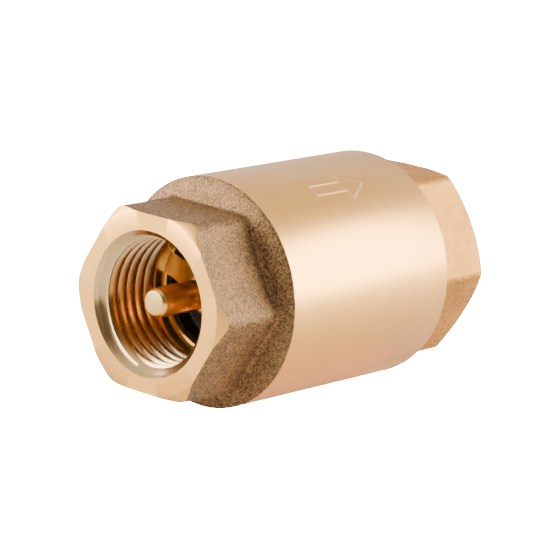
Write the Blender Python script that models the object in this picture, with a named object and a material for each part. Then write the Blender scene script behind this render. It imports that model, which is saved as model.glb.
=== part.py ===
"""In-line spring check valve with half-inch female pipe threads, lying on its barrel.

Water enters at -X, lifts the disc off its seat against the spring and leaves at +X.
The origin is on the flow axis, midway between the two end faces. Everything is in metres,
with +Z up. Places along the axis are stations, counted from the inlet face.
"""

import math

import bmesh
import bpy
from mathutils import Vector

MM = 0.001

# The casting
LENGTH = 59.0 * MM
BARREL_RADIUS = 17.25 * MM
BARREL_START = 12.46 * MM
BARREL_END = 47.7 * MM
BARREL_EDGE = 0.4 * MM
SHOULDER_RADIUS = 17.0 * MM
SHOULDER_START = 11.3 * MM
INLET_HALF_FLATS = 13.25 * MM
INLET_CORNER_RADIUS = 14.85 * MM
OUTLET_HALF_FLATS = 13.85 * MM
OUTLET_CORNER_RADIUS = 15.5 * MM
HEX_CHAMFER_MARGIN = 0.4 * MM
HEX_CHAMFER_SLOPE = 0.7
BARREL_FACETS = 30

# Half-inch parallel pipe thread
THREAD_PITCH = 1.814 * MM
THREAD_CREST_RADIUS = 9.32 * MM
THREAD_ROOT_RADIUS = 10.48 * MM
THREAD_LENGTH = 10.4 * MM
COUNTERSINK_RADIUS = 10.6 * MM
COUNTERSINK_DEPTH = 1.2 * MM
THREAD_PHASES = (0.0, 0.2, 0.6)

# The space inside
FIT_GAP = 0.3 * MM
CHAMBER_RADIUS = 13.6 * MM
CHAMBER_START = 15.4 * MM
CHAMBER_END = 38.3 * MM
CAP_BORE_RADIUS = 15.6 * MM
CAP_NOSE = 39.6 * MM
CAP_NOSE_CHAMFER = 0.3 * MM
GUIDE_SEAT = 13.0 * MM
INLET_GUIDE_BORE = 11.2 * MM
OUTLET_GUIDE_BORE = 12.0 * MM
OUTLET_GUIDE_SEAT = 42.6 * MM

# The guides
WINDOW_RADIUS = 8.8 * MM
HUB_RADIUS = 3.4 * MM
SPOKE_WIDTH = 3.6 * MM
SPOKE_ANGLES = (-73.0, 47.0, 167.0)
SEAT_LIP_INNER = 9.0 * MM
SEAT_LIP_OUTER = 9.9 * MM
SEAT_LIP_STATION = 17.0 * MM
OUTLET_HUB_START = 30.2 * MM

# The disc and what it rides on
STEM_RADIUS = 2.2 * MM
STEM_BORE = STEM_RADIUS + FIT_GAP
STEM_START = 1.4 * MM
STEM_END = 41.0 * MM
STEM_COLLAR_RADIUS = 3.3 * MM
STEM_COLLAR_START = 23.7 * MM
STEM_COLLAR_LENGTH = 1.0 * MM
CLIP_STATION = 15.0 * MM
CLIP_THICKNESS = 0.5 * MM
CLIP_GROOVE_RADIUS = 1.7 * MM
CLIP_RADIUS = 3.6 * MM
SEAL_START = SEAT_LIP_STATION + FIT_GAP
SEAL_THICKNESS = 1.4 * MM
SEAL_RADIUS = 10.9 * MM
DISC_RADIUS = 11.0 * MM
DISC_THICKNESS = 2.4 * MM
DISC_END = SEAL_START + SEAL_THICKNESS + FIT_GAP + DISC_THICKNESS
DISC_BOSS_RADIUS = 3.2 * MM
RETAINER_RADIUS = 8.4 * MM

# The spring
WIRE_RADIUS = 0.3 * MM
SPRING_RADIUS = 4.4 * MM
SPRING_SEAT_THICKNESS = 0.6 * MM
SPRING_SEAT_RADIUS = 5.8 * MM
SPRING_ACTIVE_TURNS = 6.0
SPRING_END_TURNS = 1.0
SPRING_END_PITCH = 0.8 * MM

BRASS_CAST = ((0.72, 0.55, 0.34), 0.45, 1.0)
BRASS_TURNED = ((0.80, 0.62, 0.38), 0.25, 1.0)
STEEL = ((0.72, 0.72, 0.74), 0.25, 1.0)
NYLON = ((0.02, 0.02, 0.022), 0.5, 0.0)
RUBBER = ((0.015, 0.015, 0.015), 0.7, 0.0)
FIBRE = ((0.55, 0.16, 0.10), 0.8, 0.0)


def clear_scene():
    """Removes every object of the open file."""
    for thing in list(bpy.data.objects):
        bpy.data.objects.remove(thing)


def material(name, look):
    """A Principled material with one colour, roughness and metallic value."""
    colour, roughness, metallic = look
    made = bpy.data.materials.get(name) or bpy.data.materials.new(name)
    made.use_nodes = True
    shader = made.node_tree.nodes["Principled BSDF"]
    shader.inputs["Base Color"].default_value = (*colour, 1.0)
    shader.inputs["Roughness"].default_value = roughness
    shader.inputs["Metallic"].default_value = metallic
    return made


def add_object(name, bm, finish, smooth_angle=30.0):
    """Turns a bmesh into a named object, with its origin on the flow axis at its inlet end."""
    bmesh.ops.remove_doubles(bm, verts=bm.verts, dist=1e-7)
    bmesh.ops.recalc_face_normals(bm, faces=bm.faces)
    origin = Vector((min(v.co.x for v in bm.verts), 0.0, 0.0))
    bmesh.ops.translate(bm, vec=-origin, verts=bm.verts)
    mesh = bpy.data.meshes.new(name)
    bm.to_mesh(mesh)
    bm.free()
    mesh.shade_smooth()
    mesh.set_sharp_from_angle(angle=math.radians(smooth_angle))
    mesh.materials.append(finish)
    made = bpy.data.objects.new(name, mesh)
    made.location = origin
    bpy.context.scene.collection.objects.link(made)
    return made


def carry(pieces):
    """Parents the pieces that slide together to an empty on their common axis, at the seat lip."""
    slide = bpy.data.objects.new("poppet_slide", None)
    slide.location = point(SEAT_LIP_STATION, 0.0, 0.0)
    bpy.context.scene.collection.objects.link(slide)
    for piece in pieces:
        piece.parent = slide
        piece.location = piece.location - slide.location


def point(station, radius, angle):
    """A point at a station, at a radius and at an angle from +Z towards -Y."""
    return Vector((station - LENGTH / 2, -radius * math.sin(angle), radius * math.cos(angle)))


def facet_radius(flat_radius, angle):
    """Radius of a regular polygon with a flat underneath, whose flats touch flat_radius."""
    step = 2 * math.pi / BARREL_FACETS
    offset = (angle + step / 2) % step - step / 2
    return flat_radius / math.cos(offset)


def hex_radius(half_flats, corner_radius, angle):
    """Radius of a hexagon with flats on top and below and its corners turned off."""
    offset = (angle + math.pi / 6) % (math.pi / 3) - math.pi / 6
    return min(half_flats / math.cos(offset), corner_radius)


def column_angles(half_flats, corner_radius):
    """The angles of a casting's vertices: the facets' edges and both ends of each corner arc."""
    corner = math.degrees(math.acos(half_flats / corner_radius))
    sector = sorted([-18.0, -6.0, 6.0, 18.0, 30.0, -corner, corner])
    return [math.radians(60 * k + a) for k in range(6) for a in sector]


def ring(bm, angles, place):
    """A closed row of vertices, where place(angle) gives a station and a radius."""
    return [bm.verts.new(point(*place(a), a)) for a in angles]


def bridge(bm, first, second):
    """Quads between two rows of vertices with the same count, closed round the axis."""
    for k in range(len(first)):
        n = (k + 1) % len(first)
        bm.faces.new((first[k], first[n], second[n], second[k]))


def round_ring(station, radius):
    """Place function of a round ring, as a polygon whose flats touch the radius."""
    return lambda angle: (station, facet_radius(radius, angle))


def hex_ring(station, half_flats, corner_radius):
    """Place function of a hexagon."""
    return lambda angle: (station, hex_radius(half_flats, corner_radius, angle))


def hex_end_rings(face, inward, half_flats, corner_radius):
    """Two rings of a hexagon's end: the face's edge, and where its turned chamfer runs out."""
    face_radius = half_flats + HEX_CHAMFER_MARGIN

    def face_edge(angle):
        return face, min(hex_radius(half_flats, corner_radius, angle), face_radius)

    def chamfer_end(angle):
        radius = hex_radius(half_flats, corner_radius, angle)
        depth = max(0.0, radius - face_radius) * HEX_CHAMFER_SLOPE
        return face + inward * depth, radius

    return face_edge, chamfer_end


def thread_radius(phase):
    """Radius of the thread at a share of a pitch past a crest."""
    phase = phase % 1.0
    _, crest_end, root = THREAD_PHASES
    if phase <= crest_end:
        return THREAD_CREST_RADIUS
    rise = (phase - crest_end) / (root - crest_end)
    fall = (1.0 - phase) / (1.0 - root)
    return THREAD_CREST_RADIUS + (THREAD_ROOT_RADIUS - THREAD_CREST_RADIUS) * min(rise, fall)


def add_thread(bm, angles, mouth, inward):
    """The inside of a threaded socket: a helical surface whose two ends fade into plain rings.

    Its rows follow the helix and stop at the two ends, where they run together.
    """
    start = COUNTERSINK_DEPTH
    end = start + THREAD_LENGTH
    fade = THREAD_PITCH / 2
    turns = int(THREAD_LENGTH / THREAD_PITCH) + 2
    phases = [turn + p for turn in range(-1, turns) for p in THREAD_PHASES]
    columns = [*angles, angles[0] + 2 * math.pi]
    rows = []
    for phase in phases:
        row = []
        for angle in columns:
            lead = (angle - angles[0]) / (2 * math.pi)
            depth = min(max(start + (phase + lead) * THREAD_PITCH, start), end)
            share = min(1.0, (depth - start) / fade, (end - depth) / fade)
            cut = thread_radius((depth - start) / THREAD_PITCH - lead) - THREAD_CREST_RADIUS
            radius = facet_radius(THREAD_CREST_RADIUS + share * cut, angle)
            row.append(bm.verts.new(point(mouth + inward * depth, radius, angle)))
        rows.append(row)
    for first, second in zip(rows, rows[1:]):
        for k in range(len(angles)):
            bm.faces.new((first[k], first[k + 1], second[k + 1], second[k]))


def build_casting(name, angles, groups, mouth, inward):
    """A casting from rings. groups holds rows of rings; the socket's thread joins the last to the first."""
    bm = bmesh.new()
    rings = [ring(bm, angles, place) for place in groups]
    for first, second in zip(rings, rings[1:]):
        bridge(bm, first, second)
    add_thread(bm, angles, mouth, inward)
    return add_object(name, bm, material("cast_brass", BRASS_CAST))


def build_valve_body():
    """The body: inlet hexagon and its socket, domed shoulder, and the barrel round the chamber."""
    hexagon = (INLET_HALF_FLATS, INLET_CORNER_RADIUS)
    face_edge, chamfer_end = hex_end_rings(0.0, 1.0, *hexagon)
    dome_depth = BARREL_START - SHOULDER_START - FIT_GAP
    dome_start = SHOULDER_START + FIT_GAP
    dome = []
    for turn in (0.0, 30.0, 60.0, 90.0):
        share = math.radians(turn)
        rise = (SHOULDER_RADIUS - INLET_CORNER_RADIUS) * math.sin(share)
        dome.append(round_ring(dome_start + dome_depth * (1 - math.cos(share)), INLET_CORNER_RADIUS + rise))
    thread_end = COUNTERSINK_DEPTH + THREAD_LENGTH
    rings = [
        round_ring(COUNTERSINK_DEPTH, THREAD_CREST_RADIUS),
        round_ring(0.0, COUNTERSINK_RADIUS),
        face_edge,
        chamfer_end,
        hex_ring(SHOULDER_START, *hexagon),
        *dome,
        round_ring(BARREL_START + BARREL_RADIUS - SHOULDER_RADIUS, BARREL_RADIUS),
        round_ring(BARREL_END - BARREL_EDGE, BARREL_RADIUS),
        round_ring(BARREL_END, BARREL_RADIUS - BARREL_EDGE),
        round_ring(BARREL_END, CAP_BORE_RADIUS + FIT_GAP),
        round_ring(BARREL_END - FIT_GAP, CAP_BORE_RADIUS),
        round_ring(CHAMBER_END, CAP_BORE_RADIUS),
        round_ring(CHAMBER_END, CHAMBER_RADIUS),
        round_ring(CHAMBER_START + BARREL_EDGE, CHAMBER_RADIUS),
        round_ring(CHAMBER_START, CHAMBER_RADIUS - BARREL_EDGE),
        round_ring(CHAMBER_START, INLET_GUIDE_BORE),
        round_ring(GUIDE_SEAT, INLET_GUIDE_BORE),
        round_ring(GUIDE_SEAT, THREAD_CREST_RADIUS),
        round_ring(thread_end, THREAD_CREST_RADIUS),
    ]
    return build_casting("valve_body", column_angles(*hexagon), rings, 0.0, 1.0)


def build_end_cap():
    """The cap: a spigot that screws into the barrel, the outlet hexagon and its socket."""
    hexagon = (OUTLET_HALF_FLATS, OUTLET_CORNER_RADIUS)
    face_edge, chamfer_end = hex_end_rings(LENGTH, -1.0, *hexagon)
    spigot_radius = CAP_BORE_RADIUS - FIT_GAP
    shoulder = BARREL_END - FIT_GAP
    thread_end = LENGTH - COUNTERSINK_DEPTH - THREAD_LENGTH
    rings = [
        round_ring(LENGTH - COUNTERSINK_DEPTH, THREAD_CREST_RADIUS),
        round_ring(LENGTH, COUNTERSINK_RADIUS),
        face_edge,
        chamfer_end,
        hex_ring(BARREL_END + FIT_GAP, *hexagon),
        hex_ring(shoulder, OUTLET_HALF_FLATS - FIT_GAP / 2, OUTLET_CORNER_RADIUS - FIT_GAP / 2),
        round_ring(shoulder, spigot_radius - CAP_NOSE_CHAMFER),
        round_ring(shoulder - CAP_NOSE_CHAMFER, spigot_radius),
        round_ring(CAP_NOSE + CAP_NOSE_CHAMFER, spigot_radius),
        round_ring(CAP_NOSE, spigot_radius - CAP_NOSE_CHAMFER),
        round_ring(CAP_NOSE, OUTLET_GUIDE_BORE),
        round_ring(OUTLET_GUIDE_SEAT, OUTLET_GUIDE_BORE),
        round_ring(OUTLET_GUIDE_SEAT, THREAD_CREST_RADIUS),
        round_ring(thread_end, THREAD_CREST_RADIUS),
    ]
    return build_casting("end_cap", column_angles(*hexagon), rings, LENGTH, -1.0)


def turned(name, profile, finish, segments=BARREL_FACETS):
    """A turned ring: a closed outline of (station, radius) pairs spun round the flow axis."""
    bm = bmesh.new()
    corners = [bm.verts.new(point(station, radius, 0.0)) for station, radius in profile]
    edges = [bm.edges.new((corners[k - 1], corners[k])) for k in range(len(corners))]
    bmesh.ops.spin(bm, geom=corners + edges, cent=(0, 0, 0), axis=(1, 0, 0),
                   angle=2 * math.pi, steps=segments, use_merge=True)
    return add_object(name, bm, finish)


def extruded(name, outline, start, end, finish):
    """A flat piece: a closed outline of (y, z) points, filled and extruded along the axis."""
    bm = bmesh.new()
    corners = [bm.verts.new((start - LENGTH / 2, y, z)) for y, z in outline]
    face = bm.faces.new(corners)
    grown = bmesh.ops.extrude_face_region(bm, geom=[face])["geom"]
    moved = [v for v in grown if isinstance(v, bmesh.types.BMVert)]
    bmesh.ops.translate(bm, vec=(end - start, 0, 0), verts=moved)
    return add_object(name, bm, finish)


def arc(radius, start, end, steps):
    """Points (y, z) along an arc, from one angle to another, from +Z towards -Y."""
    turns = [start + (end - start) * k / steps for k in range(steps + 1)]
    return [(-radius * math.sin(t), radius * math.cos(t)) for t in turns]


def window_outline(first_spoke, second_spoke):
    """The opening between two spokes: an outer arc, an inner arc and two straight sides."""
    half = SPOKE_WIDTH / 2
    outer = math.asin(half / WINDOW_RADIUS)
    inner = math.asin(half / HUB_RADIUS)
    start, end = math.radians(first_spoke), math.radians(second_spoke)
    return (arc(WINDOW_RADIUS, start + outer, end - outer, 9)
            + arc(HUB_RADIUS, end - inner, start + inner, 3))


def cut_windows(guide, start, end):
    """Cuts the three flow windows through a guide's web."""
    spokes = [*SPOKE_ANGLES, SPOKE_ANGLES[0] + 360.0]
    for k, (first, second) in enumerate(zip(spokes, spokes[1:])):
        cutter = extruded(f"{guide.name}_window_{k}", window_outline(first, second), start, end,
                          guide.data.materials[0])
        cutter.hide_render = True
        cutter.display_type = "WIRE"
        cut = guide.modifiers.new(f"window_{k}", "BOOLEAN")
        cut.operation = "DIFFERENCE"
        cut.solver = "EXACT"
        cut.object = cutter


def build_inlet_guide():
    """The spider pressed in behind the inlet thread: web, hub and the lip that the seal closes on."""
    front = GUIDE_SEAT + FIT_GAP
    web_back = front + 1.3 * MM
    rim_back = front + 1.7 * MM
    hub_front = 11.8 * MM
    rim = INLET_GUIDE_BORE - FIT_GAP
    profile = [
        (hub_front, STEM_BORE),
        (hub_front, HUB_RADIUS - 0.4 * MM),
        (front, HUB_RADIUS - 0.1 * MM),
        (front, rim),
        (rim_back, rim),
        (rim_back, SEAT_LIP_OUTER + 0.1 * MM),
        (SEAT_LIP_STATION, SEAT_LIP_OUTER - 0.3 * MM),
        (SEAT_LIP_STATION, SEAT_LIP_INNER + 0.2 * MM),
        (web_back, SEAT_LIP_INNER),
        (web_back, STEM_BORE),
    ]
    guide = turned("inlet_guide", profile, material("turned_brass", BRASS_TURNED))
    cut_windows(guide, front - MM, web_back + MM)
    return guide


def build_outlet_guide():
    """The spider in the cap: a long hub that guides the stem and stops its collar when fully open."""
    front = CAP_NOSE + FIT_GAP
    back = OUTLET_GUIDE_SEAT - FIT_GAP
    web_back = front + 1.6 * MM
    rim = OUTLET_GUIDE_BORE - FIT_GAP
    hub = STEM_COLLAR_RADIUS
    profile = [
        (OUTLET_HUB_START, STEM_BORE),
        (OUTLET_HUB_START, hub),
        (front, hub),
        (front, rim),
        (back, rim),
        (back, WINDOW_RADIUS + 0.3 * MM),
        (web_back, WINDOW_RADIUS + 0.3 * MM),
        (web_back, hub),
        (back, hub),
        (back, STEM_BORE),
    ]
    guide = turned("outlet_guide", profile, material("turned_brass", BRASS_TURNED))
    cut_windows(guide, front - MM, web_back + MM)
    return guide


def build_stem():
    """The brass stem: chamfered tips, the clip's groove and the collar behind the disc."""
    tip = 0.45 * MM
    groove_start = CLIP_STATION - FIT_GAP
    groove_end = CLIP_STATION + CLIP_THICKNESS + FIT_GAP
    collar_end = STEM_COLLAR_START + STEM_COLLAR_LENGTH
    stations = [
        (STEM_START, STEM_RADIUS - tip),
        (STEM_START + tip, STEM_RADIUS),
        (groove_start, STEM_RADIUS),
        (groove_start, CLIP_GROOVE_RADIUS),
        (groove_end, CLIP_GROOVE_RADIUS),
        (groove_end, STEM_RADIUS),
        (STEM_COLLAR_START, STEM_RADIUS),
        (STEM_COLLAR_START, STEM_COLLAR_RADIUS),
        (collar_end, STEM_COLLAR_RADIUS),
        (collar_end, STEM_RADIUS),
        (STEM_END - tip, STEM_RADIUS),
        (STEM_END, STEM_RADIUS - tip),
    ]
    bm = bmesh.new()
    segments = 24
    angles = [2 * math.pi * k / segments for k in range(segments)]
    rings = [[bm.verts.new(point(station, radius, a)) for a in angles] for station, radius in stations]
    for first, second in zip(rings, rings[1:]):
        bridge(bm, first, second)
    bm.faces.new(rings[0])
    bm.faces.new(rings[-1])
    return add_object("stem", bm, material("turned_brass", BRASS_TURNED))


def build_disc_parts():
    """The disc's nylon carrier, its rubber seal and the nylon plate that clamps the seal."""
    nylon = material("black_nylon", NYLON)
    retainer_start = CLIP_STATION + CLIP_THICKNESS + FIT_GAP
    edge = 0.3 * MM
    retainer = turned("seal_retainer", [
        (retainer_start, STEM_BORE),
        (retainer_start, RETAINER_RADIUS - edge),
        (retainer_start + edge, RETAINER_RADIUS),
        (SEAL_START - FIT_GAP, RETAINER_RADIUS),
        (SEAL_START - FIT_GAP, STEM_BORE),
    ], nylon)
    seal_end = SEAL_START + SEAL_THICKNESS
    seal = turned("disc_seal", [
        (SEAL_START, STEM_BORE + 2 * MM),
        (SEAL_START, SEAL_RADIUS),
        (seal_end, SEAL_RADIUS),
        (seal_end, STEM_BORE + 2 * MM),
    ], material("black_rubber", RUBBER))
    carrier_start = DISC_END - DISC_THICKNESS
    boss_end = STEM_COLLAR_START - FIT_GAP
    carrier = turned("disc_carrier", [
        (carrier_start, STEM_BORE),
        (carrier_start, DISC_RADIUS),
        (DISC_END - edge, DISC_RADIUS),
        (DISC_END, DISC_RADIUS - edge),
        (DISC_END, DISC_BOSS_RADIUS),
        (boss_end, DISC_BOSS_RADIUS),
        (boss_end, STEM_BORE),
    ], nylon)
    return [retainer, seal, carrier]


def build_retaining_clip():
    """The spring-steel C-clip in the stem's groove, open at the bottom."""
    inner = CLIP_GROOVE_RADIUS + FIT_GAP
    half_open = math.radians(130.0)
    outline = arc(CLIP_RADIUS, -half_open, half_open, 16) + arc(inner, half_open, -half_open, 12)
    return extruded("retaining_clip", outline, CLIP_STATION, CLIP_STATION + CLIP_THICKNESS,
                    material("stainless_steel", STEEL))


def build_spring(start, end):
    """The stainless spring, as a wire swept along a coil whose end turns lie close."""
    steps, sides = 20, 6
    first, last = start + WIRE_RADIUS, end - WIRE_RADIUS
    turns = SPRING_ACTIVE_TURNS + 2 * SPRING_END_TURNS
    end_rise = SPRING_END_TURNS * SPRING_END_PITCH
    active_pitch = (last - first - 2 * end_rise) / SPRING_ACTIVE_TURNS

    def rise(turn):
        if turn < SPRING_END_TURNS:
            return turn * SPRING_END_PITCH
        if turn > turns - SPRING_END_TURNS:
            return last - first - (turns - turn) * SPRING_END_PITCH
        return end_rise + (turn - SPRING_END_TURNS) * active_pitch

    bm = bmesh.new()
    rings = []
    for k in range(int(turns * steps) + 1):
        turn = k / steps
        angle = 2 * math.pi * turn
        wire = []
        for side in range(sides):
            around = 2 * math.pi * side / sides
            radius = SPRING_RADIUS + WIRE_RADIUS * math.cos(around)
            wire.append(bm.verts.new(point(first + rise(turn) + WIRE_RADIUS * math.sin(around), radius, angle)))
        rings.append(wire)
    for one, two in zip(rings, rings[1:]):
        bridge(bm, one, two)
    bm.faces.new(rings[0])
    bm.faces.new(rings[-1])
    return add_object("spring", bm, material("stainless_steel", STEEL), 60.0)


def build_rings(seat_start):
    """The washer that the spring pushes on, and the gasket under the cap's nose."""
    turned("spring_seat", [
        (seat_start, STEM_COLLAR_RADIUS + 0.4 * MM),
        (seat_start, SPRING_SEAT_RADIUS),
        (seat_start + SPRING_SEAT_THICKNESS, SPRING_SEAT_RADIUS),
        (seat_start + SPRING_SEAT_THICKNESS, STEM_COLLAR_RADIUS + 0.4 * MM),
    ], material("stainless_steel", STEEL))
    turned("cap_gasket", [
        (CHAMBER_END + FIT_GAP, CHAMBER_RADIUS + 0.2 * MM),
        (CHAMBER_END + FIT_GAP, CAP_BORE_RADIUS - 0.4 * MM),
        (CAP_NOSE - FIT_GAP, CAP_BORE_RADIUS - 0.4 * MM),
        (CAP_NOSE - FIT_GAP, CHAMBER_RADIUS + 0.2 * MM),
    ], material("red_fibre", FIBRE))


def main():
    """Builds every piece of the valve."""
    clear_scene()
    build_valve_body()
    build_end_cap()
    build_inlet_guide()
    build_outlet_guide()
    seat_start = CAP_NOSE - SPRING_SEAT_THICKNESS
    build_rings(seat_start)
    build_spring(DISC_END + FIT_GAP, seat_start - FIT_GAP)
    carry([build_stem(), *build_disc_parts(), build_retaining_clip()])


main()
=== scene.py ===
"""The looks of a half-inch spring check valve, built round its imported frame.

Lengths are in metres. Places along the flow axis are stations, counted from the inlet face,
and the frame's +X runs from the inlet to the outlet.
"""

import logging
import math
from collections.abc import Callable, Iterator, Sequence
from contextlib import contextmanager
from dataclasses import dataclass, field
from enum import Enum

import bpy
from mathutils import Euler, Matrix, Vector


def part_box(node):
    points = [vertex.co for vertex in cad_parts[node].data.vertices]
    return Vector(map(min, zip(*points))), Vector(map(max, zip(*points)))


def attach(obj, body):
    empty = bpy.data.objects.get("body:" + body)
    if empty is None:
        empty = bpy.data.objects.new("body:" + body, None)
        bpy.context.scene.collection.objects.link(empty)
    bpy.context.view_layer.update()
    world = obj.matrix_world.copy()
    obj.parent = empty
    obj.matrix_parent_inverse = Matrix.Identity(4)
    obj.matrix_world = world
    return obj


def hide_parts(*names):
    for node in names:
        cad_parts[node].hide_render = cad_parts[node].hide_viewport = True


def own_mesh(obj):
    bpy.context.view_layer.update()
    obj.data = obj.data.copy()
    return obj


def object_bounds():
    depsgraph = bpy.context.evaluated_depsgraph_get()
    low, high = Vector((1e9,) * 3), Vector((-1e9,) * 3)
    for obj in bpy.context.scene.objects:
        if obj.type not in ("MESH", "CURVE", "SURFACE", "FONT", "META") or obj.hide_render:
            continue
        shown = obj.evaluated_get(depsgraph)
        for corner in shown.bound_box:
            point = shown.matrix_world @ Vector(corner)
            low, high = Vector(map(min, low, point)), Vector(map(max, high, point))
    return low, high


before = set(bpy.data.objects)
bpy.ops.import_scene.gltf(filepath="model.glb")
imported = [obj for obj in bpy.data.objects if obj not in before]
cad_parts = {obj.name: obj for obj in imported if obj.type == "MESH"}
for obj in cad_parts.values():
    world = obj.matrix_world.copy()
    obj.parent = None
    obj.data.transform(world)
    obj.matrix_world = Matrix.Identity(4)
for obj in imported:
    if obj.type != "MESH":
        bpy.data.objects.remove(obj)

CAD_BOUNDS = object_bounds()
LOG = logging.getLogger("check_valve")

MM = 0.001
MERGE = 1e-6
FULL_TURN = 2 * math.pi
INLET_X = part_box("valve_body")[0][0]
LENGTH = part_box("end_cap")[1][0] - INLET_X
FLOW = Vector((1.0, 0.0, 0.0))

# Numbers of the sockets that share a name with others on their node
VALUE, FROM_LOW, FROM_HIGH, TO_LOW, TO_HIGH = range(5)
MIX_SHARE, MIX_FIRST, MIX_SECOND, MIX_COLOUR = 0, 6, 7, 2

Point = tuple[float, float]
Object = bpy.types.Object
Material = bpy.types.Material
NodeTree = bpy.types.NodeTree
Socket = bpy.types.NodeSocket


class Cut(Enum):
    """How one solid works on another."""

    ADD = "UNION"
    TAKE_AWAY = "DIFFERENCE"
    KEEP_COMMON = "INTERSECT"


class Body(Enum):
    """The two bodies of the frame."""

    VALVE = "valve"
    POPPET = "poppet"


class Slot(Enum):
    """The record's material slots."""

    CAST_BRASS = "cast_brass"
    TURNED_BRASS = "turned_brass"
    STEEL = "stainless_steel"
    NYLON = "black_nylon"
    RUBBER = "black_rubber"
    FIBRE = "red_fibre"


# ---------------------------------------------------------------- workbench


def deselect() -> None:
    """Leaves edit mode and lets go of every object."""
    active = bpy.context.view_layer.objects.active
    if active and active.mode != "OBJECT":
        bpy.ops.object.mode_set(mode="OBJECT")
    bpy.ops.object.select_all(action="DESELECT")


def pick(*things: Object) -> None:
    """Selects these objects alone, the first of them active."""
    deselect()
    for thing in things:
        thing.select_set(True)
    bpy.context.view_layer.objects.active = things[0]


@contextmanager
def editing(piece: Object) -> Iterator[None]:
    """Opens an object in edit mode with everything selected, and closes it afterwards."""
    pick(piece)
    bpy.ops.object.mode_set(mode="EDIT")
    bpy.ops.mesh.select_all(action="SELECT")
    yield
    bpy.ops.object.mode_set(mode="OBJECT")


def at(station: float, radius: float, angle: float = 0.0) -> Vector:
    """A point of the frame.

    Args:
        station: distance from the inlet face.
        radius: distance from the flow axis.
        angle: turn from +Z towards -Y, in radians.

    Returns:
        The point.
    """
    return Vector((INLET_X + station, -radius * math.sin(angle), radius * math.cos(angle)))


def settle(piece: Object) -> None:
    """Puts an object's place, turn and scale into its mesh."""
    pick(piece)
    bpy.ops.object.transform_apply(location=True, rotation=True, scale=True)


def tidy_mesh(piece: Object) -> None:
    """Merges doubled vertices and turns every face outwards."""
    with editing(piece):
        bpy.ops.mesh.remove_doubles(threshold=MERGE)
        bpy.ops.mesh.normals_make_consistent(inside=False)


def trace(name: str, points: Sequence[Vector], closed: bool) -> Object:
    """Draws a chain of edges by extruding one vertex from point to point.

    Args:
        name: the new object's name.
        points: the chain's corners.
        closed: whether the chain runs back to its first point.

    Returns:
        The object, with edges only.
    """
    deselect()
    bpy.ops.mesh.primitive_plane_add(size=MM, location=points[0])
    piece = bpy.context.object
    piece.name = name
    piece.data.name = name
    settle(piece)
    stops = [*points[1:], points[0]] if closed else points[1:]
    here = points[0]
    with editing(piece):
        bpy.ops.mesh.merge(type="CENTER")
        for there in stops:
            bpy.ops.mesh.extrude_vertices_move(TRANSFORM_OT_translate={"value": there - here})
            here = there
        bpy.ops.mesh.select_all(action="SELECT")
        bpy.ops.mesh.remove_doubles(threshold=MERGE)
    return piece


def spin(name: str, outline: Sequence[Point], finish: Material, steps: int = 128) -> Object:
    """Turns an outline round the flow axis, as on a lathe.

    Args:
        name: the new object's name.
        outline: (station, radius) corners. It is closed unless both ends lie on the axis.
        finish: the material of every face.
        steps: facets round the axis.

    Returns:
        The closed solid.
    """
    on_axis = outline[0][1] == 0.0 and outline[-1][1] == 0.0
    piece = trace(name, [at(station, radius) for station, radius in outline], not on_axis)
    with editing(piece):
        bpy.ops.mesh.spin(steps=steps, angle=FULL_TURN, center=(0, 0, 0), axis=FLOW)
    tidy_mesh(piece)
    piece.data.materials.append(finish)
    return piece


def extrude(name: str, points: Sequence[Vector], along: Vector) -> Object:
    """Fills a closed chain of points and extrudes it.

    Args:
        name: the new object's name.
        points: the chain's corners, all in one plane.
        along: how far and in which direction the face is carried.

    Returns:
        The closed solid, with no material.
    """
    piece = trace(name, points, True)
    with editing(piece):
        bpy.ops.mesh.edge_face_add()
        bpy.ops.mesh.extrude_region_move(TRANSFORM_OT_translate={"value": along})
    tidy_mesh(piece)
    return piece


def slab(name: str, outline: Sequence[Point], start: float, end: float, finish: Material) -> Object:
    """Extrudes a flat outline along the flow axis.

    Args:
        name: the new object's name.
        outline: closed (y, z) corners.
        start: station of the first face.
        end: station of the last face.
        finish: the material of every face.

    Returns:
        The closed solid.
    """
    piece = extrude(name, [Vector((INLET_X + start, y, z)) for y, z in outline], FLOW * (end - start))
    piece.data.materials.append(finish)
    return piece


def trim(piece: Object, start: float, end: float) -> None:
    """Cuts a closed solid off square at two stations."""
    with editing(piece):
        for station, low in ((start, True), (end, False)):
            bpy.ops.mesh.select_all(action="SELECT")
            bpy.ops.mesh.bisect(plane_co=at(station, 0.0), plane_no=FLOW, use_fill=True,
                                clear_inner=low, clear_outer=not low, threshold=MERGE / 10)


def in_mm(*corners: Point) -> list[Point]:
    """Corners given in millimetres, in metres."""
    return [(first * MM, second * MM) for first, second in corners]


def arc(radius: float, start: float, end: float, steps: int) -> list[Point]:
    """Corners (y, z) along an arc round the axis, angles in radians from +Z towards -Y."""
    turns = [start + (end - start) * k / steps for k in range(steps + 1)]
    return [(-radius * math.sin(t), radius * math.cos(t)) for t in turns]


def rounded(outline: Sequence[Point], radius: float, steps: int = 3) -> list[Point]:
    """Rounds every corner of a closed outline, less where its sides are short.

    Args:
        outline: (station, radius) corners.
        radius: how far each rounding reaches along its two sides, at most.
        steps: how many sides each rounding has.

    Returns:
        The outline with its corners rounded.
    """
    share = 0.45
    made: list[Point] = []
    corners = [Vector(c) for c in outline]
    for k, corner in enumerate(corners):
        back = corners[k - 1] - corner
        on = corners[(k + 1) % len(corners)] - corner
        reach = min(radius, back.length * share, on.length * share)
        first, last = corner + back.normalized() * reach, corner + on.normalized() * reach
        for step in range(steps + 1):
            t = step / steps
            made.append(tuple(first * (1 - t) ** 2 + corner * 2 * t * (1 - t) + last * t * t))
    return made


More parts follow.
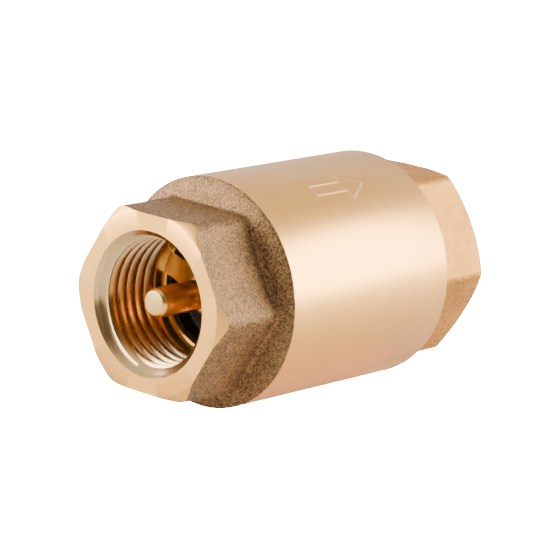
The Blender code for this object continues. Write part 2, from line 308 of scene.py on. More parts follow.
def run_modifier(piece: Object, kind: str, **settings: object) -> None:
    """Adds a modifier with these settings and applies it."""
    pick(piece)
    modifier = piece.modifiers.new(kind.lower(), kind)
    for key, value in settings.items():
        setattr(modifier, key, value)
    bpy.ops.object.modifier_apply(modifier=modifier.name)


def work(piece: Object, tool: Object, cut: Cut) -> None:
    """Adds, takes away or keeps what the tool covers, then removes the tool."""
    run_modifier(piece, "BOOLEAN", operation=cut.value, solver="EXACT", object=tool,
                 material_mode="TRANSFER")
    bpy.data.objects.remove(tool)


def soften(piece: Object, width: float, segments: int = 2, angle: float = 35.0) -> None:
    """Bevels the edges sharper than an angle, given in degrees."""
    run_modifier(piece, "BEVEL", width=width, segments=segments, limit_method="ANGLE",
                 angle_limit=math.radians(angle), use_clamp_overlap=True)


def hand_over(piece: Object, body: Body, node: str, angle: float = 30.0) -> Object:
    """Shades a finished piece, hangs it on its body and hides the CAD node it stands for."""
    pick(piece)
    bpy.ops.object.shade_smooth_by_angle(angle=math.radians(angle))
    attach(piece, body.value)
    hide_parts(node)
    LOG.info("%s: %d faces", piece.name, len(piece.data.polygons))
    return piece


# ---------------------------------------------------------------- finishes


class Board:
    """A node tree with short ways to add and join its nodes."""

    def __init__(self, tree: NodeTree) -> None:
        """Takes the tree to work on."""
        self.tree = tree

    def node(self, kind: str, inputs: dict[str | int, object] | None = None,
             **settings: object) -> bpy.types.Node:
        """Adds a node.

        Args:
            kind: the node's type, without its ShaderNode prefix.
            inputs: input name or number to a value or to another node's socket.
            settings: properties of the node.

        Returns:
            The node.
        """
        made = self.tree.nodes.new("ShaderNode" + kind)
        for key, value in settings.items():
            setattr(made, key, value)
        for key, value in (inputs or {}).items():
            if isinstance(value, bpy.types.NodeSocket):
                self.tree.links.new(value, made.inputs[key])
            else:
                made.inputs[key].default_value = value
        return made

    def maths(self, operation: str, *values: object) -> Socket:
        """The result of a Math node."""
        return self.node("Math", dict(enumerate(values)), operation=operation).outputs[0]

    def ramp(self, value: Socket, low: float, high: float) -> Socket:
        """A value spread from low..high over 0..1 and clamped."""
        return self.node("MapRange", {VALUE: value, FROM_LOW: low, FROM_HIGH: high}).outputs[0]

    def noise(self, place: Socket, scale: object, detail: float, roughness: float = 0.5) -> Socket:
        """The value of a Noise Texture node."""
        return self.node("TexNoise", {
            "Vector": place, "Scale": scale, "Detail": detail, "Roughness": roughness}).outputs["Fac"]

    def blend(self, share: Socket, first: object, second: object) -> Socket:
        """Mixes two colours."""
        mix = self.node("Mix", data_type="RGBA")
        for key, value in ((MIX_SHARE, share), (MIX_FIRST, first), (MIX_SECOND, second)):
            if isinstance(value, bpy.types.NodeSocket):
                self.tree.links.new(value, mix.inputs[key])
            else:
                mix.inputs[key].default_value = value
        return mix.outputs[MIX_COLOUR]


def new_group(name: str, inputs: dict[str, float], outputs: Sequence[str]) -> tuple[NodeTree, Board]:
    """Starts a shader node group.

    Args:
        name: the group's name.
        inputs: each float input and its usual value.
        outputs: the names of its float outputs.

    Returns:
        The group and a board to fill it on.
    """
    tree = bpy.data.node_groups.new(name, "ShaderNodeTree")
    for label, value in inputs.items():
        made = tree.interface.new_socket(label, in_out="INPUT", socket_type="NodeSocketFloat")
        made.default_value = value
    for label in outputs:
        tree.interface.new_socket(label, in_out="OUTPUT", socket_type="NodeSocketFloat")
    return tree, Board(tree)


def cast_grain_group() -> NodeTree:
    """The skin of a sand casting that was blasted: grains, pits and broad stains.

    Returns:
        A group whose Size input is a grain's width in metres. Height runs from 0 to 1, Pits is 1
        in the pits and Stain drifts slowly between 0 and 1.
    """
    tree, board = new_group("cast_grain", {"Size": 0.3 * MM}, ("Height", "Pits", "Stain"))
    given = tree.nodes.new("NodeGroupInput")
    result = tree.nodes.new("NodeGroupOutput")
    place = board.node("TexCoord").outputs["Object"]
    scale = board.maths("DIVIDE", 1.0, given.outputs["Size"])
    grain = board.noise(place, scale, 4.0, 0.62)
    cells = board.node("TexVoronoi", {
        "Vector": place, "Scale": board.maths("MULTIPLY", scale, 0.55), "Randomness": 1.0})
    pits = board.maths("SUBTRACT", 1.0, board.ramp(cells.outputs["Distance"], 0.08, 0.42))
    clumps = board.noise(place, board.maths("MULTIPLY", scale, 0.22), 3.0)
    stain = board.noise(place, board.maths("MULTIPLY", scale, 0.07), 4.0, 0.55)
    pitted = board.maths("MULTIPLY", pits, board.ramp(clumps, 0.42, 0.62))
    height = board.maths("SUBTRACT", grain, board.maths("MULTIPLY", pitted, 0.5))
    tree.links.new(height, result.inputs["Height"])
    tree.links.new(pitted, result.inputs["Pits"])
    tree.links.new(board.ramp(stain, 0.32, 0.68), result.inputs["Stain"])
    return tree


def turning_marks_group() -> NodeTree:
    """Fine rings left by a lathe tool, on any surface turned round the flow axis.

    Returns:
        A group whose Feed input is the rings' spacing in metres. Height runs from 0 to 1, and
        Haze drifts slowly between 0 and 1 along and round the piece.
    """
    tree, board = new_group("turning_marks", {"Feed": 0.1 * MM}, ("Height", "Haze"))
    given = tree.nodes.new("NodeGroupInput")
    result = tree.nodes.new("NodeGroupOutput")
    place = board.node("TexCoord").outputs["Object"]
    parts = board.node("SeparateXYZ", {0: place}).outputs
    squares = [board.maths("POWER", part, 2.0) for part in (parts[1], parts[2])]
    across = board.maths("SQRT", board.maths("ADD", *squares))
    rate = board.maths("DIVIDE", 1.0, given.outputs["Feed"])
    along = board.maths("MULTIPLY", board.maths("ADD", parts[0], across), rate)
    spots = []
    for stretch, around in ((1.0, 60.0), (0.11, 90.0)):
        spots.append(board.node("CombineXYZ", {
            0: board.maths("MULTIPLY", along, stretch), 1: board.maths("MULTIPLY", parts[1], around),
            2: board.maths("MULTIPLY", parts[2], around)}).outputs[0])
    rings = board.noise(spots[0], 1.0, 3.0, 0.7)
    haze = board.noise(spots[1], 1.0, 2.0)
    tree.links.new(rings, result.inputs["Height"])
    tree.links.new(board.ramp(haze, 0.3, 0.7), result.inputs["Haze"])
    return tree


def edge_wear_and_highlight_group() -> NodeTree:
    """Where handling rubs, which also carries a painted edge highlight: 1 on the outer edges of a piece and 0
    elsewhere, broken up by noise.
    """
    tree, board = new_group("edge_wear_and_highlight", {"Width": 0.2 * MM}, ("WearAndHighlight",))
    given = tree.nodes.new("NodeGroupInput")
    result = tree.nodes.new("NodeGroupOutput")
    eased = board.node("Bevel", {"Radius": given.outputs["Width"]}, samples=4).outputs["Normal"]
    normal = board.node("NewGeometry").outputs["Normal"]
    alike = board.node("VectorMath", {0: eased, 1: normal}, operation="DOT_PRODUCT").outputs["Value"]
    place = board.node("TexCoord").outputs["Object"]
    patchy = board.noise(place, 900.0, 3.0)
    edge = board.ramp(board.maths("SUBTRACT", 1.0, alike), 0.01, 0.12)
    tree.links.new(board.maths("MULTIPLY", edge, board.ramp(patchy, 0.3, 0.6)), result.inputs["WearAndHighlight"])
    return tree


class Effects:
    """The node groups, each built when a finish first asks for it."""

    built: dict[str, NodeTree] = {}

    @classmethod
    def place(cls, board: Board, maker: Callable[[], NodeTree], **inputs: float) -> bpy.types.Node:
        """Adds a group to a material.

        Args:
            board: the material's board.
            maker: the function that builds the group.
            inputs: values of the group's inputs.

        Returns:
            The group's node.
        """
        if maker.__name__ not in cls.built:
            cls.built[maker.__name__] = maker()
        made = board.tree.nodes.new("ShaderNodeGroup")
        made.node_tree = cls.built[maker.__name__]
        for key, value in inputs.items():
            made.inputs[key].default_value = value
        return made


def start_finish(name: str, **constants: object) -> tuple[Material, Board, bpy.types.Node]:
    """Starts a material with one Principled shader.

    Args:
        name: the material's name.
        constants: values for the shader's own sockets, named with underscores for spaces.

    Returns:
        The material, a board on its tree, and its shader.
    """
    made = bpy.data.materials.new(name)
    made.use_nodes = True
    shader = made.node_tree.nodes["Principled BSDF"]
    for key, value in constants.items():
        shader.inputs[key.replace("_", " ")].default_value = value
    return made, Board(made.node_tree), shader


def rub_and_highlight(board: Board, tone: Socket, worn_and_highlight: object, width: float, share: float) -> Socket:
    """Lays the colour of rubbed edges over a tone; the same colour is a painted highlight on those edges.

    Args:
        board: the material's board.
        tone: the colour so far.
        worn_and_highlight: the colour where the edges are rubbed, which is also their painted highlight.
        width: how far from an edge the rubbing and the painted highlight reach.
        share: how much of the edge colour shows there.

    Returns:
        The new colour.
    """
    wear_and_highlight = Effects.place(board, edge_wear_and_highlight_group, Width=width)
    return board.blend(board.maths("MULTIPLY", wear_and_highlight.outputs["WearAndHighlight"], share), tone, worn_and_highlight)


def join_up(board: Board, shader: bpy.types.Node, tone: Socket, rough: Socket, height: Socket,
            depth: float, strength: float = 1.0) -> None:
    """Joins a colour, a roughness and a relief of this depth to the shader."""
    bump = board.node("Bump", {"Height": height, "Distance": depth, "Strength": strength})
    for label, value in (("Base Color", tone), ("Roughness", rough), ("Normal", bump.outputs[0])):
        board.tree.links.new(value, shader.inputs[label])


def rgb(red: float, green: float, blue: float) -> tuple[float, float, float, float]:
    """A linear colour with full alpha."""
    return (red, green, blue, 1.0)


@dataclass(frozen=True)
class CastBrass:
    """A blasted brass casting."""

    name: str = "blasted_brass"
    light: tuple[float, ...] = rgb(0.44, 0.245, 0.095)
    dark: tuple[float, ...] = rgb(0.135, 0.076, 0.04)
    worn_and_highlight: tuple[float, ...] = rgb(0.80, 0.46, 0.18)
    speck: float = 0.85
    grain: float = 0.29 * MM
    depth: float = 0.08 * MM
    roughness: float = 0.6

    def build(self) -> Material:
        """The material."""
        made, board, shader = start_finish(self.name, Metallic=1.0)
        height, pits, stain = Effects.place(board, cast_grain_group, Size=self.grain).outputs
        lit = board.maths("MULTIPLY", board.ramp(height, 0.4, 0.6), self.speck)
        shade = board.maths("ADD", lit, board.maths("MULTIPLY", stain, 1.0 - self.speck))
        tone = board.blend(shade, self.dark, self.light)
        tone = board.blend(board.maths("MULTIPLY", pits, 0.6), tone, self.dark)
        # Lighter rubbed edges: real wear, and also a painted highlight along the edges.
        tone = rub_and_highlight(board, tone, self.worn_and_highlight, 0.35 * MM, 0.5)
        rough = board.maths("ADD", board.maths("MULTIPLY", height, 0.3), self.roughness - 0.12)
        join_up(board, shader, tone, rough, height, self.depth)
        return made


@dataclass(frozen=True)
class TurnedBrass:
    """Brass left from the lathe, with its tool's fine rings."""

    name: str = "satin_turned_brass"
    light: tuple[float, ...] = rgb(0.95, 0.465, 0.10)
    dark: tuple[float, ...] = rgb(0.92, 0.44, 0.09)
    worn_and_highlight: tuple[float, ...] = rgb(0.98, 0.62, 0.30)
    feed: float = 0.12 * MM
    depth: float = 0.0012 * MM
    roughness: float = 0.32

    def build(self) -> Material:
        """The material."""
        made, board, shader = start_finish(self.name, Metallic=1.0)
        height, haze = Effects.place(board, turning_marks_group, Feed=self.feed).outputs
        # Lighter rubbed edges: real wear, and also a painted highlight along the edges.
        tone = rub_and_highlight(board, board.blend(haze, self.dark, self.light), self.worn_and_highlight, 0.15 * MM, 0.7)
        spread = board.maths("ADD", height, haze)
        rough = board.maths("ADD", board.maths("MULTIPLY", spread, 0.03), self.roughness - 0.03)
        join_up(board, shader, tone, rough, height, self.depth)
        return made


@dataclass(frozen=True)
class Moulded:
    """Moulded nylon, rubber or pressed fibre: a faint grain, dull patches and rubbed edges with a painted
    highlight.
    """

    name: str
    light: tuple[float, ...]
    dark: tuple[float, ...]
    roughness: float
    grain: float
    depth: float

    def build(self) -> Material:
        """The material."""
        made, board, shader = start_finish(self.name, Metallic=0.0)
        height, _, stain = Effects.place(board, cast_grain_group, Size=self.grain).outputs
        pale = [min(1.0, 2.2 * part) for part in self.light]
        # Paler rubbed edges: real wear, and also a painted highlight along the edges.
        tone = rub_and_highlight(board, board.blend(stain, self.dark, self.light), pale, 0.12 * MM, 0.5)
        rough = board.maths("ADD", board.maths("MULTIPLY", height, 0.2), self.roughness - 0.1)
        join_up(board, shader, tone, rough, height, self.depth, 0.7)
        return made


@dataclass(frozen=True)
class Finishes:
    """Every finish of the valve, built once."""

    cast: Material = field(default_factory=lambda: CastBrass().build())
    rear: Material = field(default_factory=lambda: CastBrass(
        name="tumbled_brass", light=rgb(0.80, 0.37, 0.065), dark=rgb(0.42, 0.18, 0.03),
        worn_and_highlight=rgb(0.95, 0.50, 0.15), speck=0.6, grain=0.4 * MM, depth=0.04 * MM, roughness=0.55).build())
    engraved: Material = field(default_factory=lambda: TurnedBrass(
        name="engraved_brass", light=rgb(1.0, 0.72, 0.42), dark=rgb(0.98, 0.66, 0.36),
        roughness=0.55).build())
    turned: Material = field(default_factory=lambda: TurnedBrass().build())
    # Tapped brass, smoother than the turned outside; its darker tone is painted shade for the bore and the
    # thread flanks.
    socket: Material = field(default_factory=lambda: TurnedBrass(
        name="tapped_brass_with_painted_shade", light=rgb(0.84, 0.53, 0.22), dark=rgb(0.60, 0.37, 0.16), roughness=0.2).build())
    bright: Material = field(default_factory=lambda: TurnedBrass(
        name="bright_turned_brass", light=rgb(0.90, 0.55, 0.16), dark=rgb(0.78, 0.47, 0.13),
        roughness=0.24).build())
    steel: Material = field(default_factory=lambda: TurnedBrass(
        name="drawn_steel", light=rgb(0.62, 0.62, 0.64), dark=rgb(0.50, 0.50, 0.52), worn_and_highlight=rgb(0.8, 0.8, 0.82),
        roughness=0.25).build())
    nylon: Material = field(default_factory=lambda: Moulded(
        "black_nylon", rgb(0.022, 0.022, 0.024), rgb(0.012, 0.012, 0.013), 0.45, 0.2 * MM, 0.01 * MM).build())
    rubber: Material = field(default_factory=lambda: Moulded(
        "nitrile_rubber", rgb(0.016, 0.016, 0.016), rgb(0.009, 0.009, 0.009), 0.65, 0.15 * MM,
        0.012 * MM).build())
    fibre: Material = field(default_factory=lambda: Moulded(
        "vulcanised_fibre", rgb(0.42, 0.10, 0.06), rgb(0.28, 0.06, 0.04), 0.75, 0.35 * MM, 0.03 * MM).build())


# ---------------------------------------------------------------- pieces


@dataclass
class PipeThread:
    """A half-inch parallel pipe thread, as the tap that cuts it.

    The shape is one turn of the thread, as shares of its pitch and of its depth.
    """

    pitch: float = 1.814 * MM
    crest: float = 9.32 * MM
    root: float = 10.48 * MM
    steps: int = 112
    shape: tuple[Point, ...] = (
        (0.0, 0.0), (0.06, 0.0), (0.1, 0.05), (0.46, 0.93), (0.52, 1.0), (0.57, 1.0), (0.61, 0.95),
        (0.9, 0.34), (0.94, 0.03))

    def tap(self, start: float, end: float, finish: Material) -> Object:
        """Builds the tap.

        Args:
            start: station where its thread starts.
            end: station where its thread ends.
            finish: the material that it leaves.

        Returns:
            A closed threaded rod.
        """
        turns = math.ceil((end - start) / self.pitch) + 2
        first = start - self.pitch
        depth = self.root - self.crest
        chain = [at(first + share * self.pitch, self.crest + rise * depth) for share, rise in self.shape]
        chain.append(at(first + self.pitch, self.crest))
        tap = trace("tap", chain, False)
        run_modifier(tap, "SCREW", axis="X", angle=FULL_TURN, screw_offset=self.pitch, iterations=turns,
                     steps=self.steps, render_steps=self.steps, use_smooth_shade=False)
        tidy_mesh(tap)
        trim(tap, start, end)
        tidy_mesh(tap)
        tap.data.materials.append(finish)
        return tap


@dataclass
class HexBlank:
    """The cast hexagon, flats above and below, with its corners rounded by the mould."""

    half_flats: float
    start: float
    end: float
    corner_radius: float = 2.0 * MM
    corner_steps: int = 6

    def build(self, finish: Material) -> Object:
        """The prism, before the sand's texture."""
        deselect()
        sector = math.pi / 6
        middle = at((self.start + self.end) / 2, 0.0)
        bpy.ops.mesh.primitive_cylinder_add(
            vertices=6, radius=self.half_flats / math.cos(sector), depth=self.end - self.start,
            location=middle, rotation=(0, math.pi / 2, 0))
        blank = bpy.context.object
        blank.name = "hex_blank"
        settle(blank)
        pick(blank)
        bpy.ops.object.mode_set(mode="EDIT")
        bpy.ops.mesh.select_mode(type="EDGE")
        bpy.ops.object.mode_set(mode="OBJECT")
        for edge in blank.data.edges:
            ends = [blank.data.vertices[v].co for v in edge.vertices]
            edge.select = (ends[0] - ends[1]).cross(FLOW).length < MERGE
        bpy.ops.object.mode_set(mode="EDIT")
        bpy.ops.mesh.bevel(offset=self.corner_radius * math.tan(sector), segments=self.corner_steps,
                           affect="EDGES", offset_type="OFFSET")
        bpy.ops.mesh.select_mode(type="VERT")
        bpy.ops.object.mode_set(mode="OBJECT")
        blank.data.materials.append(finish)
        return blank


@dataclass
class SandMould:
    """What sand does to a pattern: rounds its edges and leaves it slightly uneven."""

    voxel: float = 0.24 * MM
    rounding: int = 4
    unevenness: float = 0.07 * MM
    wave: float = 1.6 * MM

    def cast(self, pattern: Object, *more: Object) -> None:
        """Fuses the patterns and roughens their skin."""
        pick(pattern, *more)
        if more:
            bpy.ops.object.join()
        run_modifier(pattern, "REMESH", mode="VOXEL", voxel_size=self.voxel)
        run_modifier(pattern, "SMOOTH", factor=0.5, iterations=self.rounding)
        sand = bpy.data.textures.new("sand", "CLOUDS")
        sand.noise_scale = self.wave
        sand.noise_depth = 2
        run_modifier(pattern, "DISPLACE", texture=sand, strength=self.unevenness, mid_level=0.5,
                     texture_coords="LOCAL")


@dataclass
class ValveBody:
    """The casting: inlet hexagon and socket, domed shoulder and turned barrel."""

    finishes: Finishes
    half_flats: float = 13.22 * MM
    barrel_radius: float = 17.25 * MM
    barrel_start: float = 12.46 * MM
    barrel_end: float = 47.7 * MM
    rear_chamfer: float = 0.4 * MM
    face_chamfer_radius: float = 13.65 * MM
    face_chamfer_slope: float = 0.72
    dome_start: float = 11.35 * MM
    dome_reach: float = 1.95 * MM
    dome_rise: float = 4.9 * MM
    dome_steps: int = 14
    dome_overlap: float = 2.2 * MM
    hexagon_end: float = 13.0 * MM
    skin_start: float = 11.6 * MM
    stock_start: float = 13.9 * MM
    stock_end: float = 48.4 * MM
    stock_radius: float = 17.5 * MM
    stock_margin: float = 0.35 * MM
    thread_start: float = 0.3 * MM
    thread_end: float = 11.4 * MM
    arrow_start: float = 25.4 * MM
    arrow_neck: float = 32.2 * MM
    arrow_end: float = 37.0 * MM
    arrow_shaft: float = 1.15 * MM
    arrow_head: float = 2.9 * MM
    arrow_line: float = 0.3 * MM
    arrow_depth: float = 0.07 * MM
    arrow_turn: float = 28.0
    arrow_clear: float = 3.0 * MM

    def pattern(self) -> Object:
        """The cast part: the hexagon running into the dome."""
        hexagon = HexBlank(self.half_flats, -MM, self.hexagon_end).build(self.finishes.cast)
        rim = self.barrel_radius + self.stock_margin
        outline = [(self.dome_start, 0.0)]
        for k in range(self.dome_steps + 1):
            turn = math.radians(90.0 * k / self.dome_steps)
            outline.append((self.dome_start + self.dome_reach * (1 - math.cos(turn)),
                            rim - self.dome_rise * (1 - math.sin(turn))))
        end = self.barrel_start + self.dome_overlap
        outline += [(end, rim), (end, 0.0)]
        dome = spin("dome", outline, self.finishes.cast)
        SandMould().cast(hexagon, dome)
        hexagon.name = "valve_body"
        return hexagon

    def envelope(self) -> Object:
        """What the lathe leaves outside: the face, its chamfer and the barrel."""
        clear = 19.0 * MM
        chamfer_end = (clear - self.face_chamfer_radius) * self.face_chamfer_slope
        edge = 0.12 * MM
        outline = [
            (0.0, 0.0),
            (0.0, self.face_chamfer_radius - edge),
            (edge * 0.3, self.face_chamfer_radius),
            (chamfer_end, clear),
            (self.skin_start, clear),
            (self.skin_start, self.barrel_radius),
            (self.barrel_end - self.rear_chamfer - edge, self.barrel_radius),
            (self.barrel_end - self.rear_chamfer, self.barrel_radius - edge * 0.4),
            (self.barrel_end - edge, self.barrel_radius - self.rear_chamfer + edge * 0.4),
            (self.barrel_end, self.barrel_radius - self.rear_chamfer - edge),
            (self.barrel_end, 0.0),
        ]
        return spin("turned_outside", outline, self.finishes.turned, steps=256)

    def bore(self) -> Object:
        """What the lathe takes from the inside."""
        countersink = in_mm((-1.0, 0.0), (-1.0, 11.8), (1.5, 9.3), (13.24, 9.3))
        seat_pocket = in_mm((13.28, 11.2), (15.4, 11.2))
        chamber = in_mm((15.4, 13.2), (15.8, 13.6), (38.3, 13.6))
        cap_thread = in_mm((38.3, 15.6), (47.4, 15.6), (48.0, 16.2), (48.4, 16.2), (48.4, 0.0))
        outline = countersink + seat_pocket + chamber + cap_thread
        return spin("bore", outline, self.finishes.socket, steps=160)

    def arrow_tool(self) -> Object:
        """The engraver's cut of the flow arrow: an outline of even width and depth on the barrel."""
        floor, clear = self.barrel_radius - self.arrow_depth, self.barrel_radius + 1.25 * MM
        first, last = 22.0 * MM, self.arrow_end + self.arrow_clear
        shell = spin("engraving_depth", [(first, floor), (first, clear), (last, clear), (last, floor)],
                     self.finishes.engraved, steps=256)
        for inset, cut in ((0.0, Cut.KEEP_COMMON), (self.arrow_line, Cut.TAKE_AWAY)):
            tail, neck, tip = self.arrow_start + inset, self.arrow_neck + inset, self.arrow_end - 2.2 * inset
            shaft, head = self.arrow_shaft - inset, self.arrow_head - 1.75 * inset
            outline = [(tail, -shaft), (neck, -shaft), (neck, -head), (tip, 0.0), (neck, head), (neck, shaft),
                       (tail, shaft)]
            stamp = extrude("stamp", [Vector((INLET_X + x, y, 14.0 * MM)) for x, y in outline],
                            Vector((0, 0, 6.0 * MM)))
            stamp.rotation_euler = Euler((math.radians(self.arrow_turn), 0.0, 0.0))
            settle(stamp)
            work(shell, stamp, cut)
        return shell

    def build(self) -> Object:
        """The finished casting."""
        body = self.pattern()
        start, end, radius = self.stock_start, self.stock_end, self.stock_radius
        stock = spin("stock", [(start, 0.0), (start, radius), (end, radius), (end, 0.0)],
                     self.finishes.turned, steps=64)
        work(body, stock, Cut.ADD)
        work(body, self.envelope(), Cut.KEEP_COMMON)
        work(body, self.bore(), Cut.TAKE_AWAY)
        tap = PipeThread().tap(self.thread_start, self.thread_end, self.finishes.socket)
        work(body, tap, Cut.TAKE_AWAY)
        work(body, self.arrow_tool(), Cut.TAKE_AWAY)
        return hand_over(body, Body.VALVE, "valve_body")


@dataclass
class EndCap:
    """The cap: outlet hexagon and socket, and the threaded spigot that screws into the barrel."""

    finishes: Finishes
    half_flats: float = 13.85 * MM
    corner_radius: float = 1.6 * MM
    face_chamfer_radius: float = 13.95 * MM
    face_chamfer_slope: float = 0.75
    hexagon_start: float = 46.9 * MM
    shoulder: float = 47.42 * MM
    collar: float = 46.4 * MM
    spigot_radius: float = 15.3 * MM
    core_radius: float = 14.5 * MM
    nose: float = 39.6 * MM
    thread_depth: float = 11.4 * MM
    thread_lead: float = 0.3 * MM
    screw_start: float = 40.6 * MM
    screw_end: float = 46.6 * MM
    screw_pitch: float = 1.5 * MM

    def spigot(self) -> Object:
        """The round part inside the barrel, without its thread."""
        lead, edge = 0.3 * MM, 0.25 * MM
        outline = [
            (self.nose, 0.0), (self.nose, self.core_radius - lead), (self.nose + lead, self.core_radius),
            (self.collar, self.core_radius), (self.collar, self.spigot_radius),
            (self.shoulder - edge, self.spigot_radius), (self.shoulder, self.spigot_radius - edge),
            (self.shoulder, 0.0)]
        return spin("spigot", outline, self.finishes.turned, steps=160)

    def envelope(self) -> Object:
        """What the lathe leaves of the outlet end."""
        clear = 17.0 * MM
        edge = 0.12 * MM
        outline = [
            (30.0 * MM, 0.0), (30.0 * MM, clear),
            (LENGTH - (clear - self.face_chamfer_radius) * self.face_chamfer_slope, clear),
            (LENGTH - edge * 0.3, self.face_chamfer_radius), (LENGTH, self.face_chamfer_radius - edge),
            (LENGTH, 0.0)]
        return spin("turned_end", outline, self.finishes.turned, steps=256)

    def bore(self) -> Object:
        """What the lathe takes from the inside."""
        guide_pocket = in_mm((39.0, 0.0), (39.0, 12.0), (42.55, 12.0), (42.6, 9.3))
        countersink = [(LENGTH - 1.5 * MM, 9.3 * MM), (LENGTH + MM, 11.8 * MM), (LENGTH + MM, 0.0)]
        return spin("cap_bore", guide_pocket + countersink, self.finishes.socket, steps=160)

    def build(self) -> Object:
        """The finished cap."""
        blank = HexBlank(self.half_flats, self.hexagon_start, LENGTH + MM, self.corner_radius)
        cap = blank.build(self.finishes.rear)
        cap.name = "end_cap"
        SandMould().cast(cap)
        work(cap, self.envelope(), Cut.KEEP_COMMON)
        work(cap, self.spigot(), Cut.ADD)
        screw = PipeThread(pitch=self.screw_pitch, crest=14.55 * MM, root=self.spigot_radius)
        work(cap, screw.tap(self.screw_start, self.screw_end, self.finishes.turned), Cut.ADD)
        work(cap, self.bore(), Cut.TAKE_AWAY)
        tap = PipeThread().tap(LENGTH - self.thread_depth, LENGTH - self.thread_lead, self.finishes.socket)
        work(cap, tap, Cut.TAKE_AWAY)
        return hand_over(cap, Body.VALVE, "end_cap")


@dataclass
class Guides:
    """The two spiders that guide the stem; the inlet one carries the seat lip."""

    finishes: Finishes
    window_radius: float = 8.8 * MM
    hub_radius: float = 3.4 * MM
    spoke_width: float = 3.6 * MM
    spoke_angles: tuple[float, ...] = (-73.0, 47.0, 167.0)
    bore: float = 2.32 * MM

    def cut_windows(self, guide: Object, start: float, end: float) -> None:
        """Cuts the three windows between the spokes."""
        half = self.spoke_width / 2
        outer, inner = math.asin(half / self.window_radius), math.asin(half / self.hub_radius)
        spokes = [math.radians(a) for a in (*self.spoke_angles, self.spoke_angles[0] + 360.0)]
        for first, second in zip(spokes, spokes[1:]):
            outline = (arc(self.window_radius, first + outer, second - outer, 28)
                       + arc(self.hub_radius, second - inner, first + inner, 10))
            work(guide, slab("window", outline, start, end, self.finishes.bright), Cut.TAKE_AWAY)

    def inlet(self) -> Object:
        """The inlet spider."""
        edge = 0.15 * MM
        hub_front = [
            (11.8 * MM, self.bore + edge), (11.8 * MM, 3.0 * MM), (12.0 * MM, 3.25 * MM),
            (13.1 * MM, self.hub_radius), (13.3 * MM, self.hub_radius + 0.2 * MM)]
        rim = in_mm((13.3, 10.7), (13.5, 10.9), (15.0, 10.9), (15.0, 10.1))
        seat_lip = in_mm((16.7, 9.8), (16.94, 9.68), (17.0, 9.5), (16.94, 9.32), (16.7, 9.2),
                         (14.8, 9.0), (14.6, 8.9))
        hole = [(14.6 * MM, self.bore + edge), (14.45 * MM, self.bore), (11.95 * MM, self.bore)]
        outline = hub_front + rim + seat_lip + hole
        guide = spin("inlet_guide", outline, self.finishes.bright, steps=144)
        self.cut_windows(guide, 12.6 * MM, 15.0 * MM)
        soften(guide, 0.12 * MM)
        return hand_over(guide, Body.VALVE, "inlet_guide")

    def outlet(self) -> Object:
        """The outlet spider, whose hub stops the stem's collar."""
        hub, edge = self.hub_radius - 0.12 * MM, 0.2 * MM
        hub_front = [(30.2 * MM, self.bore + edge), (30.2 * MM, hub - 0.3 * MM), (30.5 * MM, hub),
                     (39.7 * MM, hub), (39.9 * MM, hub + edge)]
        rim = in_mm((39.9, 11.5), (40.1, 11.7), (42.1, 11.7), (42.3, 11.5), (42.3, 9.15), (41.5, 9.1))
        hub_back = [(41.5 * MM, hub + edge), (41.7 * MM, hub), (42.1 * MM, hub), (42.3 * MM, hub - edge)]
        hole = [(42.3 * MM, self.bore + edge), (42.1 * MM, self.bore), (30.4 * MM, self.bore)]
        outline = hub_front + rim + hub_back + hole
        guide = spin("outlet_guide", outline, self.finishes.bright, steps=144)
        self.cut_windows(guide, 39.0 * MM, 42.0 * MM)
        soften(guide, 0.12 * MM)
        return hand_over(guide, Body.VALVE, "outlet_guide")


